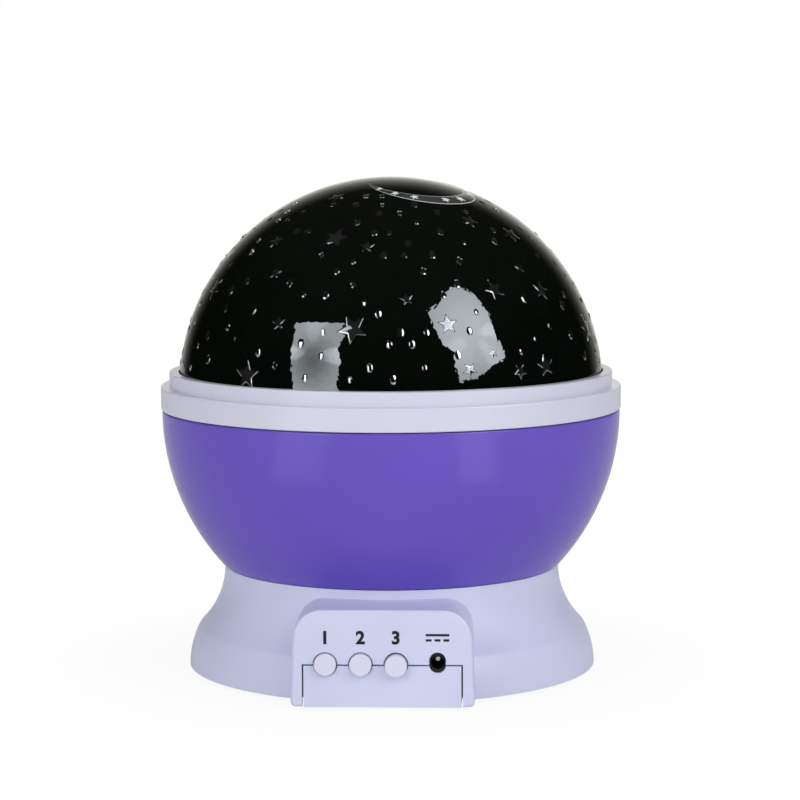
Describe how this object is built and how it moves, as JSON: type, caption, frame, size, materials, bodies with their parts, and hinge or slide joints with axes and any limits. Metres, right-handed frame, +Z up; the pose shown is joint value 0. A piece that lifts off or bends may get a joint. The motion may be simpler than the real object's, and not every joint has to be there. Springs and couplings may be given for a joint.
{
  "type": "star night light projector",
  "caption": "Night light with a star-window dome on a purple bowl that a small motor turns over a flared base with push buttons, a DC inlet and a battery bay.",
  "frame": {"origin": "centre of the bounding box on the surface that the rubber feet stand on, close to the axis that the bowl turns on", "axes": "+Z up along the turning axis, the button panel faces -Y, +X to the right seen from the panel"},
  "size_m": [0.126, 0.126, 0.1343],
  "materials": {
    "shell_lavender": "moulded ABS, satin gloss",
    "ring_lavender": "moulded ABS, gloss",
    "bowl_purple": "moulded ABS, high gloss",
    "button_white": "moulded ABS, satin",
    "dome_clear": "clear polystyrene, polished",
    "mask_black": "black plastic skin",
    "post_white": "moulded, matt white",
    "gear_nylon": "acetal, natural",
    "foot_rubber": "soft rubber",
    "screw_steel": "zinc plated",
    "contact_nickel": "nickel plated",
    "motor_steel": "zinc plated can",
    "cell_wrap": "printed wrap, no lettering",
    "board_green": "solder mask",
    "component_black": "moulded black",
    "led_clear": "clear epoxy",
    "led_red_lens": "tinted epoxy",
    "led_green_lens": "tinted epoxy",
    "led_blue_lens": "tinted epoxy",
    "lead_pvc": "thin PVC insulation"
  },
  "bodies": {
    "base": {"base_shell": "shell_lavender", "bottom_cover": "shell_lavender", "rubber_feet": "foot_rubber", "base_screws": "screw_steel", "battery_cells": "cell_wrap", "contact_plates": "contact_nickel", "contact_springs": "contact_nickel", "control_board": "board_green", "board_screws": "screw_steel", "board_parts": "component_black", "tact_switches": "component_black", "dc_jack_body": "component_black", "dc_jack_pin": "contact_nickel", "lamp_post": "post_white", "post_screws": "screw_steel", "led_board": "board_green", "led_white": "led_clear", "led_red": "led_red_lens", "led_green": "led_green_lens", "led_blue": "led_blue_lens", "thrust_washer": "gear_nylon", "retaining_clip": "screw_steel", "idler_axle": "screw_steel", "idler_circlip": "screw_steel", "motor_can": "motor_steel", "motor_screws": "screw_steel", "led_leads": "lead_pvc", "motor_leads": "lead_pvc", "battery_leads": "lead_pvc"},
    "globe": {"bowl": "bowl_purple", "ring_gear": "gear_nylon", "ring_gear_screws": "screw_steel", "lower_ring": "ring_lavender", "reflector_deck": "post_white"},
    "dome": {"dome_ring": "ring_lavender", "star_dome": "dome_clear", "star_mask": "mask_black"},
    "button_1": {"button_1": "button_white", "switch_plunger_1": "component_black"},
    "button_2": {"button_2": "button_white", "switch_plunger_2": "component_black"},
    "button_3": {"button_3": "button_white", "switch_plunger_3": "component_black"},
    "battery_door": {"battery_door": "shell_lavender"},
    "idler": {"idler_gear": "gear_nylon"},
    "motor_rotor": {"motor_shaft": "screw_steel", "motor_pinion": "gear_nylon"}
  },
  "joints": [
    {"name": "globe_spin", "type": "hinge", "parent": "base", "child": "globe", "pos_m": [0, 0, 0.03], "axis": [0, 0, 1], "continuous": true},
    {"name": "dome_lift", "type": "slide", "parent": "globe", "child": "dome", "axis": [0, 0, 1], "range_m": [0, 0.08]},
    {"name": "button_1_press", "type": "slide", "parent": "base", "child": "button_1", "axis": [0, 1, 0], "range_m": [0, 0.0005], "stiffness_N_per_m": 300, "springref_m": -0.0004},
    {"name": "button_2_press", "type": "slide", "parent": "base", "child": "button_2", "axis": [0, 1, 0], "range_m": [0, 0.0005], "stiffness_N_per_m": 300, "springref_m": -0.0004},
    {"name": "button_3_press", "type": "slide", "parent": "base", "child": "button_3", "axis": [0, 1, 0], "range_m": [0, 0.0005], "stiffness_N_per_m": 300, "springref_m": -0.0004},
    {"name": "battery_door_hinge", "type": "hinge", "parent": "base", "child": "battery_door", "pos_m": [0, 0.0321, 0.0022], "axis": [1, 0, 0], "range_deg": [0, 80]},
    {"name": "idler_spin", "type": "hinge", "parent": "base", "child": "idler", "pos_m": [0, 0.0272, 0.033], "axis": [0, 0, 1], "continuous": true},
    {"name": "motor_spin", "type": "hinge", "parent": "base", "child": "motor_rotor", "pos_m": [-0.01246, 0.02616, 0.03], "axis": [0, 0, 1], "continuous": true}
  ],
  "couplings": [
    {"joint": "idler_spin", "follows": "globe_spin", "ratio": 5.8571},
    {"joint": "motor_spin", "follows": "globe_spin", "ratio": -23.429}
  ]
}
